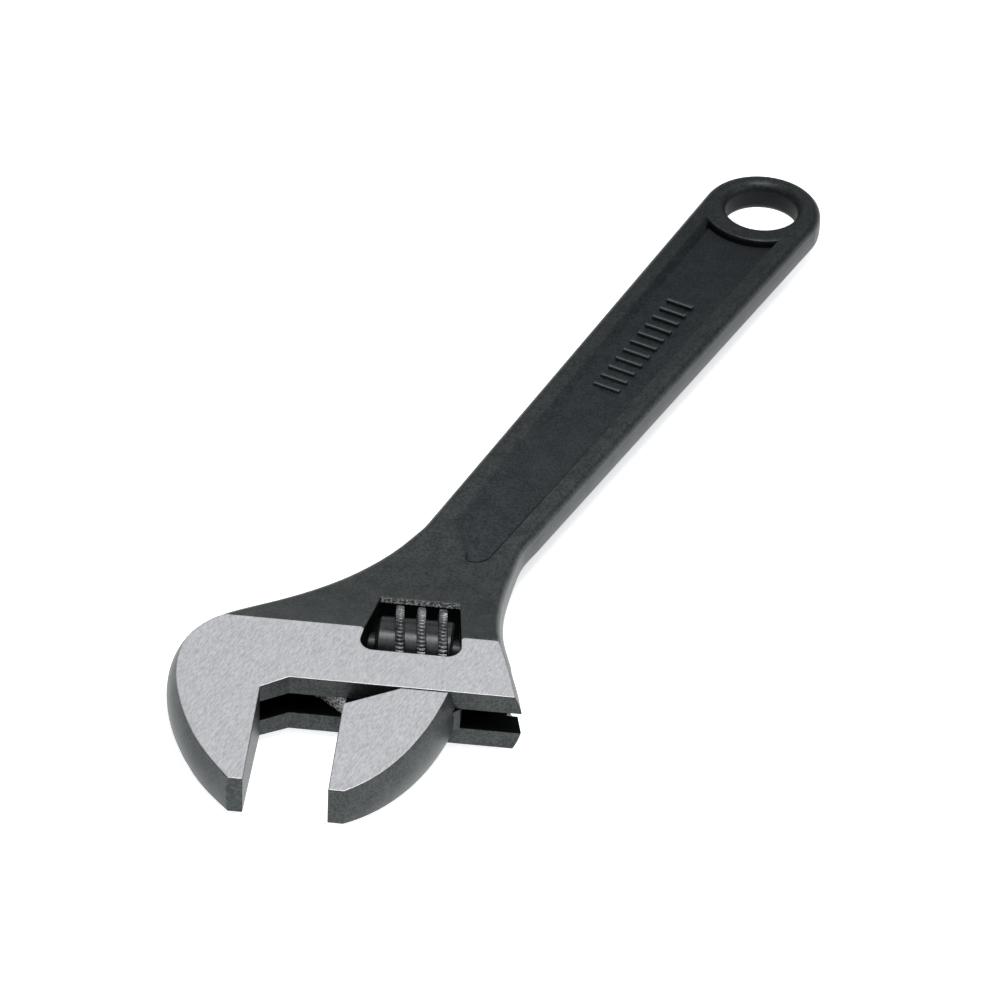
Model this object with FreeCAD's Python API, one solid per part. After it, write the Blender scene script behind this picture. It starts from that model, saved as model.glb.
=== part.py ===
import FreeCAD, Part
import math
import os
from FreeCAD import Vector as V

# Adjustable wrench, about 200 mm long, jaws at 22.5 degrees to the handle. Millimetres.
#
# The drawing datum is the corner where the fixed jaw's face meets the throat line, on the
# mid-plane of the forging: x runs along the throat, the way the sliding jaw opens, y runs from
# the jaw tips back towards the handle, and z is up. The finished parts are moved along y so that
# the row's origin is the middle of the fixed jaw's face.

# Driving dimensions
jaw_angle = 22.5            # handle's axis from the jaw faces' direction, degrees
opening = 14.3              # gap between the jaws as stored
face_middle = -13.7         # y of the middle of the fixed jaw's face

throat_half = 5.72          # half thickness of the head at the throat line
ground_slope = 0.0821       # the ground faces get thinner towards the jaw tips
ridge_y = 13.45             # back edge of the ground faces, the thickest line of the head
blend_length = 29.8         # from that edge to where the head has come down to the handle
handle_half = 3.1           # half thickness of the handle

hole_center = V(74.2, 150.2, 0)
hole_radius = 6.75
hole_round = 1.7
end_radius = 11.25          # outer radius of the handle's end
end_along = -0.7            # the end's centre from the hole's, along the handle and across it
end_across = 0.22
handle_taper = 0.0195       # half width lost per millimetre towards the head
handle_bulge = 0.035
edge_round = 1.6

throat_corner = (4.6, 0.0)
face_top = -2.85            # where the corner chamfer reaches the fixed jaw's face
fixed_tip = -24.5
sliding_tip = -25.15

channel_y = 7.7             # axis of the round channel for the rack bar
channel_radius = 4.0
channel_start = -8.2        # its blind end, inside the fixed jaw
slot_half = 2.15
bar_radius = 3.92
bar_start = 8.2
bar_end = 38.5
web_half = 2.0
web_end = 33.6
rail_gap = 0.15             # between the sliding jaw and the throat rails

worm_y = 17.2               # axis of the worm and its pin
worm_start = 17.7
worm_end = 30.6
worm_core = 5.0
thread_radius = 7.0
thread_pitch = 3.68
thread_start = 19.49        # thread starts straight below the axis
thread_turns = 2.85
thread_root_width = 1.75
thread_crest_width = 1.3
pin_radius = 2.0
pin_fit = 0.05              # radial clearance of the worm and the body on the pin
pin_start = 10.2
pin_shoulder = 33.5
pin_end = 38.9
pin_head_radius = 2.6
driver_slot = 0.9

rack_tip = 11.7             # y of the rack teeth's tips, just past the bar's back
rack_root = 9.85
groove_root_width = 1.7
groove_mouth_width = 2.2
rack_lean = 0.101           # the teeth lean with the thread's lead angle

spring_wire = 0.5
spring_sides = 12
spring_radius = 2.75
spring_pitch = 0.95
spring_turns = 4
spring_start = 16.95
counterbore_radius = 3.5
counterbore_depth = 3.3

window_corners = [(17.2, 24.4), (30.9, 24.4), (32.75, 8.3), (15.0, 8.3)]
window_corner_radius = 2.4
web_back = 5.2              # y where the web's slanted front edge meets the bar's end
web_fit = 0.4               # room round the web when the jaws are closed
closed_travel = 14.2

panel_left_start = -114.3
panel_right_start = -120.6
panel_left_neck = -5.2
panel_right_neck = 5.8
panel_left_end = -7.4
panel_right_end = 7.6
panel_end_radius = 11.3     # round the hanging hole
panel_corner = 3.0
panel_floor_neck = 2.6
panel_floor_hole = 1.85
left_wall = 1.5             # how far each sloping wall of the panel comes in
right_wall = 0.5
neck_wall = 1.0
hole_wall = 0.5
neck_ramp = 9.0             # the floor comes up slowly at the left of the neck
lip_round = 0.8

rib_count = 11              # plain raised ribs on the panel's floor
rib_pitch = 2.9
rib_first = -63.5
rib_width = 0.8
rib_length = 5.2
rib_across = 0.4
rib_top = 2.85
rib_round = 0.3
edge_break = 0.2            # small round on the machined edges

far = 200.0                 # longer than the part, for cutting tools

angle = math.radians(jaw_angle)
handle_axis = V(math.sin(angle), math.cos(angle), 0)
handle_side = V(math.cos(angle), -math.sin(angle), 0)
X, Y, Z = V(1, 0, 0), V(0, 1, 0), V(0, 0, 1)


def handle_point(along, across, z=0.0):
    """A point from the hanging hole: along the handle away from the jaws, and across to the right."""
    return hole_center + handle_axis * along + handle_side * across + Z * z


def line(a, b):
    return Part.LineSegment(a, b).toShape()


def polygon(points):
    """A flat face with straight sides."""
    return Part.Face(Part.makePolygon(list(points) + [points[0]]))


def prism(points, half):
    """A plan outline given as (x, y) pairs, from -half to +half in z."""
    face = polygon([V(x, y, -half) for x, y in points])
    return face.extrude(Z * 2 * half)


def rod(x0, x1, y, radius):
    """A cylinder along x on the mid-plane."""
    return Part.makeCylinder(radius, x1 - x0, V(x0, y, 0), X)


def inset(points, z):
    """Move an outline's points inwards, because the forged sides bulge most at the mid-plane.

    The outline has the steel on its right.
    """
    out = []
    for i, (x, y, bulge) in enumerate(points):
        before = points[max(i - 1, 0)]
        after = points[min(i + 1, len(points) - 1)]
        inwards = V(after[0] - before[0], after[1] - before[1], 0).normalize().cross(Z)
        out.append(V(x, y, z) + inwards * bulge * z * z)
    return out


def curve(points, start=None, end=None):
    """A smooth curve through points, with end tangents where they are given."""
    spline = Part.BSplineCurve()
    if start is None and end is None:
        spline.interpolate(Points=points)
        return spline.toShape()
    start = start or (points[1] - points[0])
    end = end or (points[-1] - points[-2])
    spline.interpolate(Points=points, InitialTangent=start.normalize(), FinalTangent=end.normalize())
    return spline.toShape()


# Plan outlines at the mid-plane: x, y and how much the side bulges there, per millimetre.
# Each runs a little past the machined faces that end it.
fixed_jaw_back = [
    (-1.3, -26.05, 0.010),
    (-8.9, -17.95, 0.050),
    (-13.9, -8.95, 0.055),
    (-16.2, -0.5, 0.050),
    (-15.4, 8.8, 0.052),
    (-10.2, 15.5, 0.055),
    (-2.3, 20.8, 0.050),
    (4.3, 25.5, 0.045),
    (9.9, 30.5, 0.040),
    (14.7, 35.95, 0.040),
    (18.85, 41.9, 0.045),
    (21.3, 46.1, 0.050),
]
right_flank = [
    (40.3, 44.0, 0.040),
    (39.1, 38.0, 0.036),
    (38.35, 31.0, 0.036),
    (38.4, 24.5, 0.039),
    (39.25, 18.5, 0.042),
    (41.5, 10.7, 0.045),
    (43.3, 4.0, 0.045),
    (44.7, -2.0, 0.045),
]
sliding_jaw_back = [
    (33.35, 2.0, 0.042),
    (30.2, -8.5, 0.044),
    (26.6, -15.7, 0.044),
    (21.9, -21.6, 0.034),
    (15.9, -25.9, 0.010),
]


def forging_section(z):
    """The wrench body's outline at height z."""
    def end_point(along, across):
        return handle_point(end_along + along, end_across + across, z)

    radius = end_radius - handle_bulge * z * z
    turn = math.atan(handle_taper)
    left_in = end_point(-111.0, -(radius - 111.0 * handle_taper))
    right_in = end_point(-105.0, radius - 105.0 * handle_taper)
    left_out = end_point(radius * math.sin(turn), -radius * math.cos(turn))
    right_out = end_point(radius * math.sin(turn), radius * math.cos(turn))
    tip = end_point(radius, 0)
    back = inset(fixed_jaw_back, z) + [left_in]
    flank = [right_in] + inset(right_flank, z)
    edges = [
        line(flank[-1], back[0]),
        curve(back, None, left_out - left_in),
        line(left_in, left_out),
        Part.Arc(left_out, tip, right_out).toShape(),
        line(right_out, right_in),
        curve(flank, right_in - right_out, None),
    ]
    return Part.Wire(edges)


def throat_prism():
    """The open space in front of the fixed jaw's face and the throat rails, and past the tip."""
    return prism([
        (0.0, fixed_tip),
        (0.0, face_top),
        throat_corner,
        (far, 0.0),
        (far, -far),
        (-far, -far),
        (-far, fixed_tip),
    ], far)


def jaw_section(z):
    """The sliding jaw's outline at height z, before its straight sides are cut."""
    back = inset(sliding_jaw_back, z)
    front = opening - 3.0
    return Part.Wire([
        curve(back),
        line(back[-1], V(front, back[-1].y, z)),
        line(V(front, back[-1].y, z), V(front, back[0].y, z)),
        line(V(front, back[0].y, z), back[0]),
    ])


def jaw_prism():
    """The straight sides of the sliding jaw: tip, gripping face, heel and the side along the rails."""
    return prism([
        (opening, sliding_tip),
        (opening, -5.0),
        (opening + 9.2, -rail_gap),
        (far, -rail_gap),
        (far, sliding_tip),
    ], far)


def bulged(section, half):
    """A solid through the section's outlines from -half to +half."""
    heights = [-half, -half / 2, 0.0, half / 2, half]
    return Part.makeLoft([section(z) for z in heights], True, False)


def thickness_profile(side):
    """Points of the top (side 1) or bottom (side -1) surface, seen along x."""
    heights = [
        (-40.0, throat_half - ground_slope * 40.0),
        (ridge_y, throat_half + ground_slope * ridge_y),
        (ridge_y + blend_length / 2, handle_half),
        (ridge_y + blend_length, handle_half),
        (190.0, handle_half),
    ]
    return [V(-60.0, y, side * z) for y, z in heights]


def thickness_prism():
    """Everything between the top and bottom faces: ground planes, blend, then the handle's flats."""
    upper, lower = thickness_profile(1), thickness_profile(-1)
    edges = [line(upper[0], lower[0]), line(upper[-1], lower[-1])]
    for tip, ridge, bend, flat, back in (upper, lower):
        blend = Part.BezierCurve()
        blend.setPoles([ridge, bend, flat])
        edges += [line(tip, ridge), blend.toShape(), line(flat, back)]
    outline = Part.Wire(Part.__sortEdges__(edges))
    return Part.Face(outline).extrude(X * far)


def outer_edges(shape):
    """The edges where the handle's and neck's top and bottom faces meet the forged sides."""
    found = []
    for edge in shape.Edges:
        points = [edge.valueAt(edge.FirstParameter), edge.valueAt(edge.LastParameter)]
        level = abs(abs(points[0].z) - abs(points[1].z)) < 0.01
        upright = level and abs(points[0].z - points[1].z) > handle_half
        across = level and abs(points[0].y - points[1].y) < 0.01 and edge.Curve.TypeId == "Part::GeomLine"
        if min(points[0].y, points[1].y) > ridge_y - 0.01 and not upright and not across:
            found.append(edge)
    return found


def panel_wire(share, neck_z, hole_z):
    """An outline of the handle's sunk panel: share 0 at the rim and 1 at the foot of its walls.

    The plane may slope along the handle.
    """
    def at(along, across):
        z = hole_z + (neck_z - hole_z) * along / panel_right_start
        return handle_point(along, across, z)

    radius = panel_end_radius + share * hole_wall
    left = panel_left_end + share * left_wall
    right = panel_right_end - share * right_wall
    left_neck = panel_left_neck + share * left_wall
    right_neck = panel_right_neck - share * right_wall
    start = panel_right_start + share * neck_wall
    left_top = at(-math.sqrt(radius ** 2 - left ** 2), left)
    right_top = at(-math.sqrt(radius ** 2 - right ** 2), right)
    middle_top = at(-radius, 0)
    left_low = at(panel_left_start + share * neck_ramp, left_neck)
    right_low = at(start + panel_corner, right_neck)
    corner_reach = panel_corner * (1 - math.sqrt(0.5))
    corner_middle = at(start + corner_reach, right_neck - corner_reach)
    corner_end = at(start, right_neck - panel_corner)
    return Part.Wire([
        line(left_low, left_top),
        Part.Arc(left_top, middle_top, right_top).toShape(),
        line(right_top, right_low),
        Part.Arc(right_low, corner_middle, corner_end).toShape(),
        line(corner_end, left_low),
    ])


def both_sides(shape):
    return [shape, shape.mirror(V(0, 0, 0), Z)]


def rib(along):
    """One raised rib across the panel's floor, with its top edges rounded."""
    half_width, half_length = rib_width / 2, rib_length / 2
    base = panel_floor_hole - 0.4
    corners = [
        handle_point(along - half_width, rib_across - half_length, base),
        handle_point(along - half_width, rib_across + half_length, base),
        handle_point(along + half_width, rib_across + half_length, base),
        handle_point(along + half_width, rib_across - half_length, base),
    ]
    block = polygon(corners).extrude(Z * (rib_top - base))
    top = [e for e in block.Edges if e.CenterOfMass.z > rib_top - 0.01]
    return block.makeFillet(rib_round, top)


def is_lip(edge):
    """The edge of the boss round the hanging hole, where the panel starts."""
    for share in (0.0, 0.5, 1.0):
        point = edge.valueAt(edge.FirstParameter + share * (edge.LastParameter - edge.FirstParameter))
        reach = math.hypot(point.x - hole_center.x, point.y - hole_center.y)
        if abs(abs(point.z) - handle_half) > 0.01 or abs(reach - panel_end_radius) > 0.05:
            return False
    return True


def handle_details(body):
    """Sunk panels with their ribs, and the hanging hole with its round rim."""
    pocket = Part.makeLoft([
        panel_wire(1.0, panel_floor_neck, panel_floor_hole),
        panel_wire(0.0, handle_half + 0.01, handle_half + 0.01),
    ], True, True)
    lid = Part.Face(panel_wire(0.0, handle_half + 0.01, handle_half + 0.01)).extrude(Z)
    body = body.cut(both_sides(pocket.fuse(lid)))
    lips = [e for e in body.Edges if is_lip(e)]
    body = body.makeFillet(lip_round, lips)
    ribs = [rib(rib_first + rib_pitch * i) for i in range(rib_count)]
    body = body.fuse([side for r in ribs for side in both_sides(r)])
    hole = Part.makeCylinder(hole_radius, 20, hole_center - Z * 10, Z)
    body = body.cut(hole)
    rims = [e for e in body.Edges if is_rim(e)]
    return body.makeFillet(hole_round, rims)


def is_rim(edge):
    circle = edge.Curve.TypeId == "Part::GeomCircle" and abs(edge.Curve.Radius - hole_radius) < 0.01
    return circle and (edge.Curve.Center - hole_center).Length < handle_half + 0.1


def window():
    """The worm's window: a little wider towards the jaws, with round front corners."""
    block = prism(window_corners, 10)
    front = [e for e in block.Edges if is_front_corner(e)]
    return block.makeFillet(window_corner_radius, front)


def is_front_corner(edge):
    ends = [edge.valueAt(edge.FirstParameter), edge.valueAt(edge.LastParameter)]
    return abs(ends[0].z - ends[1].z) > 1 and ends[0].y < worm_y


def head_cuts():
    """The channel for the rack bar, the slot for the web, the window and the pin's hole."""
    channel = rod(channel_start, far, channel_y, channel_radius)
    pocket = bar_start - closed_travel - web_fit
    front = opening - closed_travel - web_fit
    slot = prism([
        (pocket, channel_y),
        (pocket, web_back - web_fit + 0.1),
        (front, -0.3),
        (front, -2.7),
        (0.2, -3.2),
        (far, -3.2),
        (far, channel_y),
    ], slot_half)
    pin_hole = rod(pin_start - 0.4, far, worm_y, pin_radius + pin_fit)
    head_hole = rod(pin_shoulder - 0.05, far, worm_y, pin_head_radius + pin_fit)
    return [channel, slot, window(), pin_hole, head_hole]


def crease(shape, edge):
    """The angle between the two faces that meet at an edge, in degrees."""
    middle = edge.valueAt((edge.FirstParameter + edge.LastParameter) / 2)
    normals = []
    for face in shape.ancestorsOfType(edge, Part.Face):
        u, v = face.Surface.parameter(middle)
        normals.append(face.normalAt(u, v))
    return math.degrees(normals[0].getAngle(normals[-1]))


def break_edges(shape, wanted):
    """Rounds the sharp edges whose middle is wanted."""
    edges = [e for e in shape.Edges if wanted(e.CenterOfMass) and crease(shape, e) > 20]
    return shape.makeFillet(edge_break, edges)


def make_body():
    body = bulged(forging_section, 7.4).common(thickness_prism()).cut(throat_prism())
    body = body.makeFillet(edge_round, outer_edges(body))
    body = handle_details(body)
    body = body.cut(head_cuts()).removeSplitter().Solids[0]
    return break_edges(body, lambda point: abs(point.z) > 3.5 and point.y < 30.0)


def groove(x):
    """One gap between the rack's teeth, leaning like the worm's thread."""
    reach = 6.0
    faces = []
    for z in (-reach, reach):
        middle = x - rack_lean * z
        points = [
            V(middle - groove_root_width / 2, rack_root, z),
            V(middle + groove_root_width / 2, rack_root, z),
            V(middle + groove_mouth_width / 2, rack_tip, z),
            V(middle - groove_mouth_width / 2, rack_tip, z),
        ]
        faces.append(Part.makePolygon(points + [points[0]]))
    return Part.makeLoft(faces, True, True)


def make_jaw():
    jaw = bulged(jaw_section, 6.5).common(thickness_prism()).common(jaw_prism())
    web = prism([
        (bar_start, channel_y),
        (bar_start, web_back),
        (opening, 0.0),
        (opening, -5.0),
        (28.0, -5.0),
        (web_end, 0.0),
        (web_end, channel_y),
    ], web_half)
    bar = rod(bar_start, bar_end, channel_y, bar_radius)
    ends = [e for e in bar.Edges if e.Curve.TypeId == "Part::GeomCircle"]
    bar = bar.makeChamfer(0.5, ends)
    jaw = break_edges(jaw.Solids[0], lambda point: abs(point.z) > 2.5)
    jaw = jaw.fuse([web, bar]).removeSplitter()
    first = thread_start - thread_pitch / 4
    steps = range(-3, 6)
    spots = [first + thread_pitch * step for step in steps]
    inside = [x for x in spots if bar_start + 1.5 < x < bar_end - 1.0]
    return jaw.cut([groove(x) for x in inside])


def make_thread():
    """A right-hand thread ridge round the worm's axis."""
    inner = worm_core - 0.4
    helix = Part.makeHelix(thread_pitch, thread_pitch * thread_turns, inner)
    slope = (thread_root_width - thread_crest_width) / 2
    profile = Part.makePolygon([
        V(inner, 0, -thread_root_width / 2),
        V(thread_radius, 0, -thread_root_width / 2 + slope),
        V(thread_radius, 0, thread_root_width / 2 - slope),
        V(inner, 0, thread_root_width / 2),
        V(inner, 0, -thread_root_width / 2),
    ])
    ridge = Part.Wire(helix.Edges).makePipeShell([profile], True, True)
    ridge.rotate(V(0, 0, 0), Y, 90)
    ridge.translate(V(thread_start, worm_y, 0))
    return ridge


def make_worm():
    core = rod(worm_start, worm_end, worm_y, worm_core)
    rims = [e for e in core.Edges if e.Curve.TypeId == "Part::GeomCircle"]
    core = core.makeChamfer(0.4, rims)
    bore = rod(worm_start - 1, worm_end + 1, worm_y, pin_radius + pin_fit)
    counterbore = rod(worm_start - 1, worm_start + counterbore_depth, worm_y, counterbore_radius)
    return core.fuse(make_thread()).cut([bore, counterbore])


def make_pin():
    shank = rod(pin_start, pin_end, worm_y, pin_radius)
    head = rod(pin_shoulder, pin_end, worm_y, pin_head_radius)
    slot = Part.makeBox(2, 10, driver_slot, V(pin_end - 1.2, worm_y - 5, -driver_slot / 2))
    return shank.fuse(head).removeSplitter().cut(slot)


def make_spring():
    helix = Part.makeHelix(spring_pitch, spring_pitch * spring_turns, spring_radius)
    turns = [2 * math.pi * i / spring_sides for i in range(spring_sides + 1)]
    radius = spring_wire / 2
    section = Part.makePolygon([
        V(spring_radius + radius * math.cos(turn), 0, radius * math.sin(turn)) for turn in turns
    ])
    coil = Part.Wire(helix.Edges).makePipeShell([section], True, True)
    coil.rotate(V(0, 0, 0), Y, 90)
    coil.translate(V(spring_start, worm_y, 0))
    return coil


parts = {
    "wrench_body": make_body,
    "sliding_jaw": make_jaw,
    "adjusting_worm": make_worm,
    "worm_pin": make_pin,
    "worm_spring": make_spring,
}
os.makedirs("parts", exist_ok=True)
for name, make in parts.items():
    shape = make()
    shape.translate(V(0, -face_middle, 0))
    if len(shape.Solids) == 1:
        shape = shape.Solids[0]
    print(name, shape.isValid(), len(shape.Solids), round(shape.Volume), shape.BoundBox)
    shape.exportStep("parts/" + name + ".step")
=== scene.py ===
import math

import bpy
from mathutils import Matrix, Vector


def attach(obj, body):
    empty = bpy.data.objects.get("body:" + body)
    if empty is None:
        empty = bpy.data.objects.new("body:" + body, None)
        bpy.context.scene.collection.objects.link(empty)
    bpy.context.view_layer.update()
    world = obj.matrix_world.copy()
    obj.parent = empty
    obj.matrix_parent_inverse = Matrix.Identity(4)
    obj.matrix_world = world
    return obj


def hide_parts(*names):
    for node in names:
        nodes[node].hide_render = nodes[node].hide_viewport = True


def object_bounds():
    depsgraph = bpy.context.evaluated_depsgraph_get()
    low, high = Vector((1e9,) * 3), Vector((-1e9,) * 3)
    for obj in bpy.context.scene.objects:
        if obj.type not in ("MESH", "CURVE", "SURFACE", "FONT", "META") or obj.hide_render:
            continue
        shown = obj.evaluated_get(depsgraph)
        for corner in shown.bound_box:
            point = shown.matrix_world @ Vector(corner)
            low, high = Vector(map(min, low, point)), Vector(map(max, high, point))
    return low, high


# An adjustable wrench with ground jaw faces and a black oxide finish. Lengths are in metres.
# The row's origin is the middle of the fixed jaw's face: x is the way the sliding jaw opens,
# y runs from the jaw tips towards the handle, and z is up.

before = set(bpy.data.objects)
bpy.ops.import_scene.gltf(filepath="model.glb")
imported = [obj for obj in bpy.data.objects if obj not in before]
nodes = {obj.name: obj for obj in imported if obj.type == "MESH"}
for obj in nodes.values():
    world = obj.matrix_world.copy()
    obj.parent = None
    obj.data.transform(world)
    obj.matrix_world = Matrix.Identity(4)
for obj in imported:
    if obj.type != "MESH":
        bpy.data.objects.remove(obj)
cad_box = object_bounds()

MM = 0.001

# Places on the wrench
RIDGE_Y = 27.15 * MM        # back edge of the ground faces
RAIL_DROP = 0.5 * MM        # how much further forward that edge is on the rails' end
RAIL_STEP = (23.0 * MM, 25.0 * MM)  # where it changes
WINDOW_LEFT = 15.7 * MM     # where the window's walls and the rails' end meet that edge
WINDOW_RIGHT = 32.2 * MM
RAIL_END = 40.8 * MM
CHANNEL_Y = 21.4 * MM       # axis of the rack's channel
HOLE = (74.2 * MM, 163.9 * MM, 0.0)
HANDLE_AXIS = (math.sin(math.radians(22.5)), math.cos(math.radians(22.5)), 0.0)
HANDLE_SIDE = (HANDLE_AXIS[1], -HANDLE_AXIS[0], 0.0)
CORNER = 0.95 * MM          # radius of the ground faces' corners at the openings
SLOT_BACK = 40.0 * MM       # everything in the head is ahead of this
CHANNEL_RADIUS = 4.1 * MM   # just past the rack's channel
PANEL_SIDE = 8.1 * MM       # just past the sunk panels' edges, across the handle
PANEL_RADIUS = 11.2 * MM    # just inside the panels' edge round the hole
PANEL_TOP = 3.08 * MM       # just under the handle's face, from the mid-plane

# The worm: a right-hand thread that starts straight below the axis
WORM_Y = 30.9 * MM
WORM_X = (17.7 * MM, 30.6 * MM)
CORE = 5.0 * MM
BORE = 2.05 * MM
SPRING_BORE = 3.5 * MM
SPRING_BORE_DEPTH = 3.36 * MM
THREAD_X = 19.49 * MM
THREAD_TURNS = 2.85
PITCH = 3.68 * MM
CREST = 6.98 * MM
KNURLS = 62
KNURL_DEPTH = 0.27 * MM

# The worm's thread, across its ridge
THREAD_ROOT = CORE - 0.3 * MM
ROOT_HALF_WIDTH = 0.875 * MM
CREST_HALF_WIDTH = 0.66 * MM
CREST_BEVEL = 0.14 * MM
BEVEL_DEPTH = 0.16 * MM
RUN_IN = math.radians(28.0)     # turn over which the thread rises at each end
SUNK = 0.05 * MM                # how far the thread's ends lie under the core's surface

# Camera
AIM = Vector((34.3 * MM, 73.1 * MM, 0.0))
DISTANCE = 1.0559
AZIMUTH = 4.275
ELEVATION = 38.72
ROLL = 2.49
LENS = 216.0
SENSOR = 36.0

# Lights: azimuth and elevation in degrees, distance and size in metres, power in watts
LIGHTS = {
    "front": (-12.0, 58.0, 1.3, (1.0, 0.6), 3.0),
    "top": (30.0, 80.0, 1.4, (0.55, 0.55), 13.0),
    "back": (171.0, 56.0, 0.75, (1.0, 0.42), 1.35),
    "right": (80.0, 22.0, 1.3, (0.8, 0.6), 3.0),
}
DAYLIGHT = (0.96, 0.98, 1.0, 1.0)
FLOOR_HALF = 3.0
FLOOR_GAP = 0.0002              # keeps the floor just clear of the tool


# Scene: camera, floor, lights

def aim_matrix(azimuth, elevation, roll=0.0):
    """Rotation of a camera or light that looks at its target from that side and height."""
    turn = Matrix.Rotation(math.radians(azimuth), 3, "Z")
    tilt = Matrix.Rotation(math.radians(90.0 - elevation), 3, "X")
    return turn @ tilt @ Matrix.Rotation(math.radians(roll), 3, "Z")


def add_camera():
    data = bpy.data.cameras.new("camera")
    data.lens = LENS
    data.sensor_width = SENSOR
    data.clip_start = 0.05
    data.clip_end = 50.0
    camera = bpy.data.objects.new("camera", data)
    bpy.context.scene.collection.objects.link(camera)
    rotation = aim_matrix(AZIMUTH, ELEVATION, ROLL)
    position = AIM + rotation @ Vector((0.0, 0.0, DISTANCE))
    camera.matrix_world = Matrix.Translation(position) @ rotation.to_4x4()
    bpy.context.scene.camera = camera


def add_light(name, azimuth, elevation, distance, size, power):
    data = bpy.data.lights.new(name, "AREA")
    data.shape = "RECTANGLE"
    data.size, data.size_y = size
    data.energy = power
    light = bpy.data.objects.new(name, data)
    bpy.context.scene.collection.objects.link(light)
    rotation = aim_matrix(azimuth, elevation)
    position = AIM + rotation @ Vector((0.0, 0.0, distance))
    light.matrix_world = Matrix.Translation(position) @ rotation.to_4x4()
    light.visible_camera = False


def add_world():
    world = bpy.data.worlds.new("studio")
    world.use_nodes = True
    background = world.node_tree.nodes["Background"]
    background.inputs["Color"].default_value = DAYLIGHT
    background.inputs["Strength"].default_value = 0.36
    bpy.context.scene.world = world


def add_floor():
    """A pale floor that glows a little, so that the tool's shadow on it stays faint."""
    half = FLOOR_HALF
    top = cad_box[0].z - FLOOR_GAP
    corners = [(-half, -half, top), (half, -half, top), (half, half, top), (-half, half, top)]
    mesh = bpy.data.meshes.new("floor")
    mesh.from_pydata(corners, [], [(0, 1, 2, 3)])
    floor = bpy.data.objects.new("floor", mesh)
    bpy.context.scene.collection.objects.link(floor)
    shader = new_material("floor").nodes["Principled BSDF"]
    shader.inputs["Base Color"].default_value = (0.95, 0.95, 0.95, 1.0)
    shader.inputs["Roughness"].default_value = 0.9
    shader.inputs["Emission Color"].default_value = DAYLIGHT
    shader.inputs["Emission Strength"].default_value = 0.6
    mesh.materials.append(bpy.data.materials["floor"])


# Node helpers

def new_material(name):
    material = bpy.data.materials.new(name)
    material.use_nodes = True
    return material.node_tree


def add_node(tree, kind, inputs=None, **settings):
    """A node with its settings, and its inputs given as values or as other nodes' outputs."""
    made = tree.nodes.new(kind)
    for key, value in settings.items():
        setattr(made, key, value)
    for key, value in (inputs or {}).items():
        if isinstance(value, bpy.types.NodeSocket):
            tree.links.new(value, made.inputs[key])
        else:
            made.inputs[key].default_value = value
    return made


def maths(tree, operation, *values, clamp=False):
    inputs = dict(enumerate(values))
    return add_node(tree, "ShaderNodeMath", inputs, operation=operation, use_clamp=clamp).outputs[0]


def smooth(tree, value, start, end):
    """0 before start and 1 after end, smooth between them."""
    made = add_node(tree, "ShaderNodeMapRange", {"Value": value, "From Min": start, "From Max": end},
                    interpolation_type="SMOOTHSTEP")
    return made.outputs["Result"]


def remap(tree, value, low_value, high_value):
    """A 0 to 1 value stretched to another range."""
    made = add_node(tree, "ShaderNodeMapRange",
                    {"Value": value, "To Min": low_value, "To Max": high_value})
    return made.outputs["Result"]


def mix_colors(tree, factor, first, second):
    made = add_node(tree, "ShaderNodeMix", data_type="RGBA")
    for index, value in ((0, factor), (6, first), (7, second)):
        if isinstance(value, bpy.types.NodeSocket):
            tree.links.new(value, made.inputs[index])
        else:
            made.inputs[index].default_value = value
    return made.outputs[2]


def mix_values(tree, factor, first, second):
    made = add_node(tree, "ShaderNodeMix", {0: factor, 2: first, 3: second}, data_type="FLOAT")
    return made.outputs[0]


def noise(tree, vector, scale, detail=2.0, roughness=0.5):
    made = add_node(tree, "ShaderNodeTexNoise",
                    {"Vector": vector, "Scale": scale, "Detail": detail, "Roughness": roughness})
    return made.outputs["Fac"]


def stretched(tree, vector, angle, along, across):
    """Coordinates turned about z and squeezed, so that noise becomes streaks along one direction."""
    turn = {"Vector": vector, "Rotation": (0, 0, math.radians(-angle))}
    turned = add_node(tree, "ShaderNodeMapping", turn, vector_type="POINT").outputs[0]
    squeeze = {"Vector": turned, "Scale": (along, across, across)}
    return add_node(tree, "ShaderNodeMapping", squeeze, vector_type="POINT").outputs[0]


def weighted_sum(tree, first, first_weight, second, second_weight):
    return maths(tree, "ADD", maths(tree, "MULTIPLY", first, first_weight),
                 maths(tree, "MULTIPLY", second, second_weight))


def product(tree, *values):
    result = values[0]
    for value in values[1:]:
        result = maths(tree, "MULTIPLY", result, value)
    return result


def largest(tree, *values):
    result = values[0]
    for value in values[1:]:
        result = maths(tree, "MAXIMUM", result, value)
    return result


def inside(tree, value, start, end):
    """1 where a value is between two limits."""
    above = maths(tree, "GREATER_THAN", value, start)
    return maths(tree, "MULTIPLY", above, maths(tree, "LESS_THAN", value, end))


def dot(tree, vector, direction):
    made = add_node(tree, "ShaderNodeVectorMath", {0: vector, 1: direction}, operation="DOT_PRODUCT")
    return made.outputs["Value"]


def radius_from(tree, vector):
    """Distance from the z axis."""
    flat = add_node(tree, "ShaderNodeVectorMath", {0: vector, 1: (1.0, 1.0, 0.0)}, operation="MULTIPLY")
    return add_node(tree, "ShaderNodeVectorMath", {0: flat.outputs[0]}, operation="LENGTH").outputs["Value"]


# Materials

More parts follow.
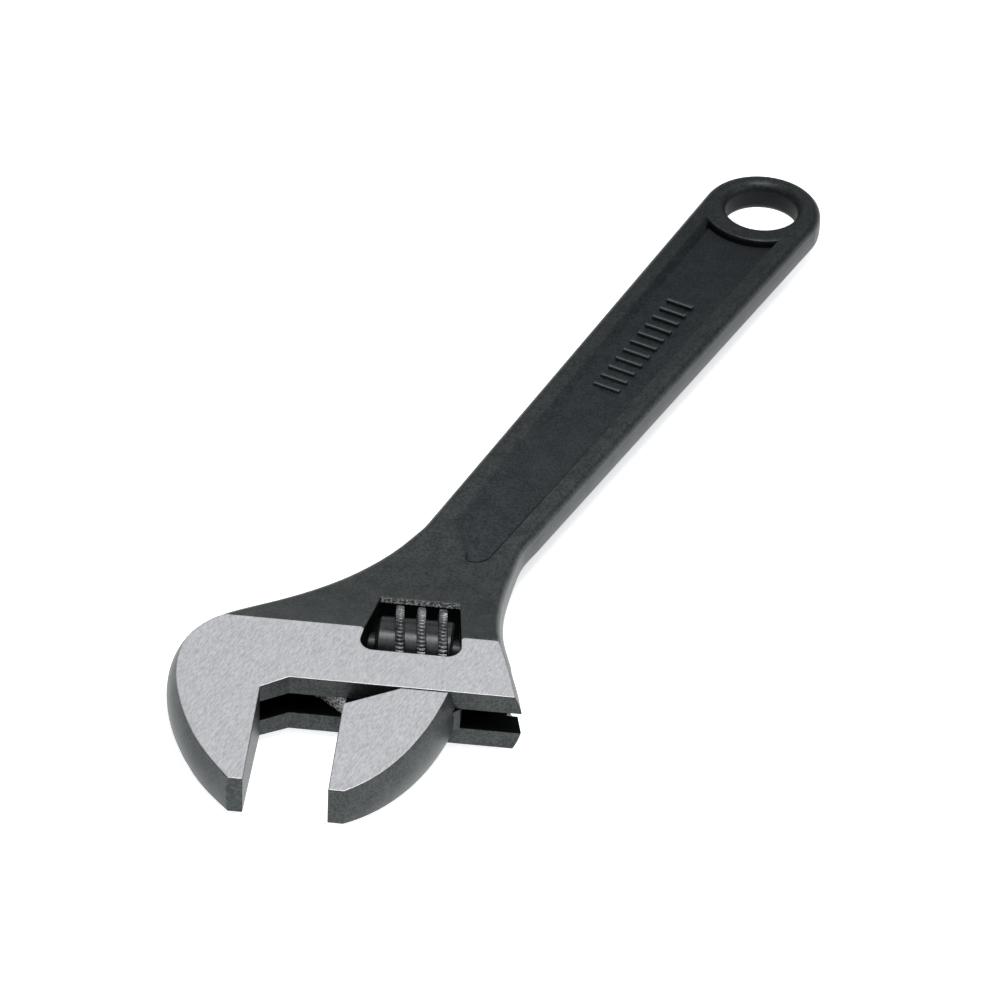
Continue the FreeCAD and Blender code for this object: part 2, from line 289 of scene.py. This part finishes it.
BLACK_DARK = (0.0245, 0.0290, 0.0285, 1.0)
BLACK_LIGHT = (0.0590, 0.0670, 0.0650, 1.0)
# bluer colours for the handle's sunk panels, also darker as painted shade
RECESS_SHADE_DARK = (0.0158, 0.0198, 0.0226, 1.0)
RECESS_SHADE_LIGHT = (0.0415, 0.0495, 0.0550, 1.0)
# painted shade that darkens the black towards the handle's end
END_SHADE = (0.44, 0.46, 0.49, 1.0)
# painted shade, near black, for the slot, channel and window, and for the handle's shaded walls and hole
INSIDE_SHADE_COLOR = (0.0060, 0.0066, 0.0070, 1.0)
# painted highlight for the ribs' edges
RIB_HIGHLIGHT_COLOR = (0.1100, 0.1200, 0.1220, 1.0)
OXIDE_METALLIC = 0.7
BARE_METALLIC = 0.3
STEEL_DARK = (0.335, 0.337, 0.348, 1.0)
STEEL_LIGHT = (0.545, 0.547, 0.567, 1.0)
BARE_DARK = (0.10, 0.105, 0.105, 1.0)
BARE_LIGHT = (0.85, 0.86, 0.86, 1.0)


def black_oxide(tree, place, recess_shade, painted_shade, to_end):
    """Color, roughness and height of a forged surface with a black oxide finish.

    The finish is bluer in the handle's sunk panels, where painted shade also makes it darker; painted shade
    makes it darker towards the handle's end; and painted shade makes it near black in the slot, channel and
    window, on the panels' shaded walls and in the hole.
    """
    grain = noise(tree, place, 2100.0, 3.0, 0.8)
    blotches = noise(tree, place, 300.0, 4.0, 0.6)
    share = smooth(tree, weighted_sum(tree, grain, 0.75, blotches, 0.25), 0.40, 0.60)
    outer = mix_colors(tree, share, BLACK_DARK, BLACK_LIGHT)
    # bluer, with painted shade, on the sunk panels' floor
    color = mix_colors(tree, recess_shade, outer, mix_colors(tree, share, RECESS_SHADE_DARK, RECESS_SHADE_LIGHT))
    # painted shade, growing towards the handle's end
    darker = add_node(tree, "ShaderNodeMix", {0: to_end, 6: color, 7: END_SHADE},
                      data_type="RGBA", blend_type="MULTIPLY")
    # painted shade, near black, inside the head and on the handle's shaded walls and hole
    color = mix_colors(tree, painted_shade, darker.outputs[2], INSIDE_SHADE_COLOR)
    roughness = maths(tree, "ADD", remap(tree, grain, 0.28, 0.60), maths(tree, "MULTIPLY", painted_shade, 0.25))
    height = maths(tree, "ADD", grain, maths(tree, "MULTIPLY", blotches, 1.2))
    return color, roughness, height


def ground_steel(tree, place):
    """Color, roughness and height of a face ground on a belt, with short streaks along one direction."""
    fine = noise(tree, stretched(tree, place, 70.0, 900.0, 5200.0), 1.0, 2.0, 0.7)
    coarse = noise(tree, stretched(tree, place, 64.0, 260.0, 2100.0), 1.0, 3.0, 0.6)
    streaks = weighted_sum(tree, fine, 0.8, coarse, 0.2)
    color = mix_colors(tree, smooth(tree, streaks, 0.3, 0.7), STEEL_DARK, STEEL_LIGHT)
    roughness = remap(tree, fine, 0.34, 0.56)
    return color, roughness, streaks


def bare_steel(tree, place):
    """Color, roughness and height of a coarsely cut face with scraped, patchy metal."""
    grain = noise(tree, place, 2300.0, 4.0, 0.7)
    color = mix_colors(tree, smooth(tree, grain, 0.42, 0.62), BARE_DARK, BARE_LIGHT)
    roughness = remap(tree, grain, 0.35, 0.6)
    return color, roughness, grain


def connect_finish(tree, finish, metallic, strength, depth):
    """Puts a finish on the shader, with its height as a bump of that strength and depth."""
    color, roughness, height = finish
    shader = tree.nodes["Principled BSDF"]
    bump = add_node(tree, "ShaderNodeBump", {"Height": height, "Strength": strength, "Distance": depth})
    tree.links.new(color, shader.inputs["Base Color"])
    tree.links.new(roughness, shader.inputs["Roughness"])
    tree.links.new(bump.outputs["Normal"], shader.inputs["Normal"])
    if isinstance(metallic, bpy.types.NodeSocket):
        tree.links.new(metallic, shader.inputs["Metallic"])
    else:
        shader.inputs["Metallic"].default_value = metallic


def ground_mask(tree, normal, at):
    """1 on the ground faces of the head, with a round corner where their back edge meets an opening."""
    level = smooth(tree, maths(tree, "ABSOLUTE", normal["Z"]), 0.68, 0.80)
    outer = smooth(tree, maths(tree, "ABSOLUTE", at["Z"]), 3.0 * MM, 3.2 * MM)
    from_left = maths(tree, "SUBTRACT", WINDOW_LEFT, at["X"])
    rail_middle, rail_half = (WINDOW_RIGHT + RAIL_END) / 2, (RAIL_END - WINDOW_RIGHT) / 2
    from_rail_middle = maths(tree, "ABSOLUTE", maths(tree, "SUBTRACT", at["X"], rail_middle))
    from_edge = maths(tree, "MAXIMUM", from_left, maths(tree, "SUBTRACT", rail_half, from_rail_middle))
    share = maths(tree, "SUBTRACT", 1.0, maths(tree, "DIVIDE", from_edge, CORNER), clamp=True)
    round_off = maths(tree, "SQRT", maths(tree, "SUBTRACT", 1.0, maths(tree, "MULTIPLY", share, share)))
    drop = maths(tree, "MULTIPLY", maths(tree, "SUBTRACT", 1.0, round_off), CORNER)
    rail_drop = smooth(tree, at["X"], *RAIL_STEP)
    back_edge = maths(tree, "SUBTRACT", RIDGE_Y, maths(tree, "MULTIPLY", rail_drop, RAIL_DROP))
    behind = maths(tree, "SUBTRACT", maths(tree, "ADD", at["Y"], drop), back_edge)
    ahead = smooth(tree, behind, 0.06 * MM, -0.06 * MM)
    return product(tree, level, outer, ahead)


def inside_shade_mask(tree, normal, at):
    """1 on the slot's flat sides, in the rack's channel and on the window's walls, where painted shade
    goes.
    """
    depth = maths(tree, "ABSOLUTE", at["Z"])
    facing = maths(tree, "ABSOLUTE", normal["Z"])
    slot = product(tree, maths(tree, "GREATER_THAN", facing, 0.9),
                   maths(tree, "LESS_THAN", depth, 2.3 * MM), maths(tree, "LESS_THAN", at["Y"], SLOT_BACK))
    across = maths(tree, "SUBTRACT", at["Y"], CHANNEL_Y)
    squares = maths(tree, "ADD", product(tree, across, across), product(tree, depth, depth))
    channel = product(tree, maths(tree, "LESS_THAN", maths(tree, "SQRT", squares), CHANNEL_RADIUS),
                      inside(tree, at["X"], -8.5 * MM, 41.0 * MM))
    window = product(tree, maths(tree, "LESS_THAN", facing, 0.5),
                     inside(tree, at["X"], 14.9 * MM, 32.85 * MM),
                     inside(tree, at["Y"], 21.8 * MM, 38.2 * MM))
    return largest(tree, slot, channel, window)


def panel_masks(tree, place, normal, at):
    """Three masks: the floor of the handle's sunk panels, where it is bluer with painted shade; painted
    shade on walls and in the hole; and a painted highlight on the ribs' edges.

    The painted shade is on the panels' walls at the right, round the hole and at the neck, and in the hole.
    """
    from_hole = add_node(tree, "ShaderNodeVectorMath", {0: place, 1: HOLE}, operation="SUBTRACT").outputs[0]
    radius = radius_from(tree, from_hole)
    across = dot(tree, from_hole, HANDLE_SIDE)
    along = dot(tree, from_hole, HANDLE_AXIS)
    between = product(tree, inside(tree, across, -PANEL_SIDE, PANEL_SIDE),
                      inside(tree, along, -122.0 * MM, -8.3 * MM),
                      maths(tree, "GREATER_THAN", radius, PANEL_RADIUS))
    depth = maths(tree, "ABSOLUTE", at["Z"])
    facing = maths(tree, "ABSOLUTE", normal["Z"])
    # the sunk panels' floor, which gets a bluer colour with painted shade
    floor = product(tree, between, smooth(tree, depth, 3.0 * MM, 2.8 * MM))
    right = smooth(tree, across, 3.0 * MM, 3.4 * MM)
    near_hole = maths(tree, "MULTIPLY", smooth(tree, radius, 12.6 * MM, 12.4 * MM),
                      smooth(tree, across, -7.2 * MM, -6.2 * MM))
    neck = maths(tree, "MULTIPLY", smooth(tree, across, 0.6 * MM, 3.4 * MM),
                 smooth(tree, along, -112.0 * MM, -114.0 * MM))
    # painted shade: a dark line on the panels' walls at the right, round the hole and at the neck
    wall_shade = product(tree, between, largest(tree, right, near_hole, neck), smooth(tree, facing, 0.98, 0.88),
                   smooth(tree, depth, PANEL_TOP, 3.0 * MM))
    # painted shade on the hole's inner face
    bore = product(tree, maths(tree, "LESS_THAN", radius, 8.2 * MM), smooth(tree, facing, 0.55, 0.15), 0.6)
    # painted highlight on the ribs' edges near their tops
    rib_highlight = product(tree, inside(tree, across, -2.6 * MM, 3.4 * MM),
                   inside(tree, along, -64.5 * MM, -33.5 * MM),
                   smooth(tree, depth, 2.35 * MM, 2.6 * MM), smooth(tree, facing, 0.99, 0.90))
    return floor, largest(tree, wall_shade, bore), rib_highlight


def blend(tree, share, first, second):
    """A finish, which is a color, roughness and height, mixed with another one."""
    color = mix_colors(tree, share, first[0], second[0])
    roughness = mix_values(tree, share, first[1], second[1])
    return color, roughness, mix_values(tree, share, first[2], second[2])


def bare_mask(tree, normal, at, bare_faces):
    """1 on the faces given by their boxes in mm, with z as depth, and the way that they face in y."""
    depth = maths(tree, "ABSOLUTE", at["Z"])
    masks = []
    for x, y, z, facing in bare_faces:
        masks.append(product(tree, inside(tree, at["X"], x[0] * MM, x[1] * MM),
                             inside(tree, at["Y"], y[0] * MM, y[1] * MM),
                             inside(tree, depth, z[0] * MM, z[1] * MM), inside(tree, normal["Y"], *facing)))
    return largest(tree, *masks)


def make_steel(name, bare_faces):
    """Black forging with ground faces, and with coarsely cut bare faces."""
    tree = new_material(name)
    coordinates = add_node(tree, "ShaderNodeTexCoord")
    place = coordinates.outputs["Object"]
    normal = add_node(tree, "ShaderNodeSeparateXYZ", {0: coordinates.outputs["Normal"]}).outputs
    at = add_node(tree, "ShaderNodeSeparateXYZ", {0: place}).outputs
    # painted shade, near black, on the slot's flat sides, in the channel and on the window's walls
    inside_shade = inside_shade_mask(tree, normal, at)
    ground = product(tree, ground_mask(tree, normal, at), maths(tree, "SUBTRACT", 1.0, inside_shade))
    bare = bare_mask(tree, normal, at, bare_faces)
    # panel floor with painted shade, painted shade on walls and in the hole, and a painted highlight on the
    # ribs
    recess_shade, wall_shade, rib_highlight = panel_masks(tree, place, normal, at)
    # all the painted shade together: inside the head, on the panels' walls and in the hole
    painted_shade = largest(tree, inside_shade, wall_shade)
    # how far the painted shade towards the handle's end has grown
    to_end = smooth(tree, at["Y"], 25.0 * MM, 165.0 * MM)
    color, roughness, height = black_oxide(tree, place, recess_shade, painted_shade, to_end)
    # painted highlight on the ribs' edges
    finish = (mix_colors(tree, maths(tree, "MULTIPLY", rib_highlight, 0.8), color, RIB_HIGHLIGHT_COLOR), roughness, height)
    finish = blend(tree, ground, finish, ground_steel(tree, place))
    finish = blend(tree, bare, finish, bare_steel(tree, place))
    metallic = mix_values(tree, bare, largest(tree, ground, painted_shade, OXIDE_METALLIC), BARE_METALLIC)
    connect_finish(tree, finish, metallic, 0.4, 0.06 * MM)
    tree.nodes["Principled BSDF"].inputs["Specular IOR Level"].default_value = 0.4
    return bpy.data.materials[name]


def make_turned(name, dark_color, light_color, metallic, rough):
    """Turned steel with fine scratches, under a thin dark finish."""
    tree = new_material(name)
    place = add_node(tree, "ShaderNodeTexCoord").outputs["Object"]
    grain = noise(tree, place, 2600.0, 3.0, 0.6)
    patches = noise(tree, place, 500.0, 3.0, 0.6)
    tone = weighted_sum(tree, grain, 0.5, patches, 0.5)
    color = mix_colors(tree, smooth(tree, tone, 0.35, 0.65), dark_color, light_color)
    roughness = remap(tree, patches, rough - 0.07, rough + 0.09)
    connect_finish(tree, (color, roughness, grain), metallic, 0.3, 0.02 * MM)
    return bpy.data.materials[name]


def paint(name, material):
    """Gives a CAD node a material in all its slots."""
    for entry in nodes[name].material_slots:
        entry.material = material


# The worm

def add_piece(name, vertices, faces, material, sharp):
    """A mesh piece with smooth shading, apart from edges sharper than an angle in degrees."""
    mesh = bpy.data.meshes.new(name)
    mesh.from_pydata(vertices, [], faces)
    mesh.validate()
    mesh.materials.append(material)
    mesh.shade_smooth()
    mesh.set_sharp_from_angle(angle=math.radians(sharp))
    piece = bpy.data.objects.new(name, mesh)
    bpy.context.scene.collection.objects.link(piece)
    return piece


def around(x, radius, turn):
    """A point at a distance from the worm's axis, turned from straight below it as the thread winds."""
    return Vector((x, WORM_Y + radius * math.sin(turn), -radius * math.cos(turn)))


def loop_faces(rings, count, closed):
    """Faces between rings of count points each, and from the last ring to the first if closed."""
    faces = []
    for i in range(rings if closed else rings - 1):
        for j in range(count):
            a, b = i * count + j, i * count + (j + 1) % count
            c, d = (i + 1) % rings * count + (j + 1) % count, (i + 1) % rings * count + j
            faces.append((a, b, c, d))
    return faces


def worm_core():
    """The turned core with its bore, and the counterbore that holds the spring."""
    left, right = WORM_X
    edge = 0.35 * MM
    profile = [
        (left, SPRING_BORE), (left, CORE - edge), (left + edge, CORE),
        (right - edge, CORE), (right, CORE - edge), (right, BORE),
        (left + SPRING_BORE_DEPTH, BORE), (left + SPRING_BORE_DEPTH, SPRING_BORE),
    ]
    steps = 128
    vertices = [around(x, radius, math.tau * i / steps) for i in range(steps) for x, radius in profile]
    return vertices, loop_faces(steps, len(profile), True)


def notch(turn):
    """0 on the crest between two knurls and 1 at a knurl's bottom."""
    return (0.5 - 0.5 * math.cos(turn * KNURLS)) ** 1.5


def thread_ridge():
    """The thread: a ridge round the core whose crest is knurled, and which sinks away at both ends."""
    steps = round(THREAD_TURNS * KNURLS * 8)
    vertices = []
    for i in range(steps + 1):
        turn = math.tau * THREAD_TURNS * i / steps
        middle = THREAD_X + PITCH * turn / math.tau
        to_end = min(turn, math.tau * THREAD_TURNS - turn)
        rise = math.sin(min(to_end / RUN_IN, 1.0) * math.pi / 2)
        crest = CORE + (CREST - CORE) * rise - SUNK * (1 - rise)
        deep = crest - KNURL_DEPTH * notch(turn) * rise
        shoulder = min(deep, crest - BEVEL_DEPTH)
        half = CREST_HALF_WIDTH
        for offset, radius in (
                (-ROOT_HALF_WIDTH, THREAD_ROOT), (-half - 0.02 * MM, shoulder), (-half + CREST_BEVEL, deep),
                (half - CREST_BEVEL, deep), (half + 0.02 * MM, shoulder), (ROOT_HALF_WIDTH, THREAD_ROOT)):
            vertices.append(around(middle + offset, radius, turn))
    faces = loop_faces(steps + 1, 6, False)
    last = steps * 6
    faces.append(tuple(range(5, -1, -1)))
    faces.append(tuple(range(last, last + 6)))
    return vertices, faces


def add_worm(core_material, thread_material):
    for name, (vertices, faces), material, sharp in (
            ("worm_core", worm_core(), core_material, 35.0),
            ("worm_thread", thread_ridge(), thread_material, 50.0)):
        piece = add_piece(name, vertices, faces, material, sharp)
        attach(piece, "worm")
        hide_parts("adjusting_worm")


bpy.context.scene.view_settings.view_transform = "Standard"
add_camera()
add_world()
add_floor()
for name, settings in LIGHTS.items():
    add_light(name, *settings)

WINDOW_EDGES = [
    ((14.0, 33.0), (37.9, 38.3), (3.45, 5.0), (-2.0, -0.9)),
    ((17.0, 31.5), (21.8, 22.3), (-1.0, 5.9), (0.9, 2.0)),
]
WEB_TOE = [((8.0, 14.4), (13.5, 19.1), (-1.0, 2.1), (-2.0, -0.3))]
paint("wrench_body", make_steel("forged_body", WINDOW_EDGES))
paint("sliding_jaw", make_steel("forged_jaw", WEB_TOE))
core_steel = make_turned("worm_core", (0.008, 0.009, 0.010, 1.0), (0.030, 0.032, 0.034, 1.0), 0.5, 0.27)
thread_steel = make_turned("worm_thread", (0.025, 0.027, 0.028, 1.0), (0.17, 0.178, 0.182, 1.0), 0.8, 0.30)
pin_steel = make_turned("dark_pin", (0.01, 0.011, 0.011, 1.0), (0.03, 0.031, 0.032, 1.0), 0.5, 0.35)
wire_steel = make_turned("spring_wire", (0.015, 0.016, 0.017, 1.0), (0.06, 0.063, 0.066, 1.0), 0.9, 0.3)
add_worm(core_steel, thread_steel)
paint("worm_pin", pin_steel)
paint("worm_spring", wire_steel)
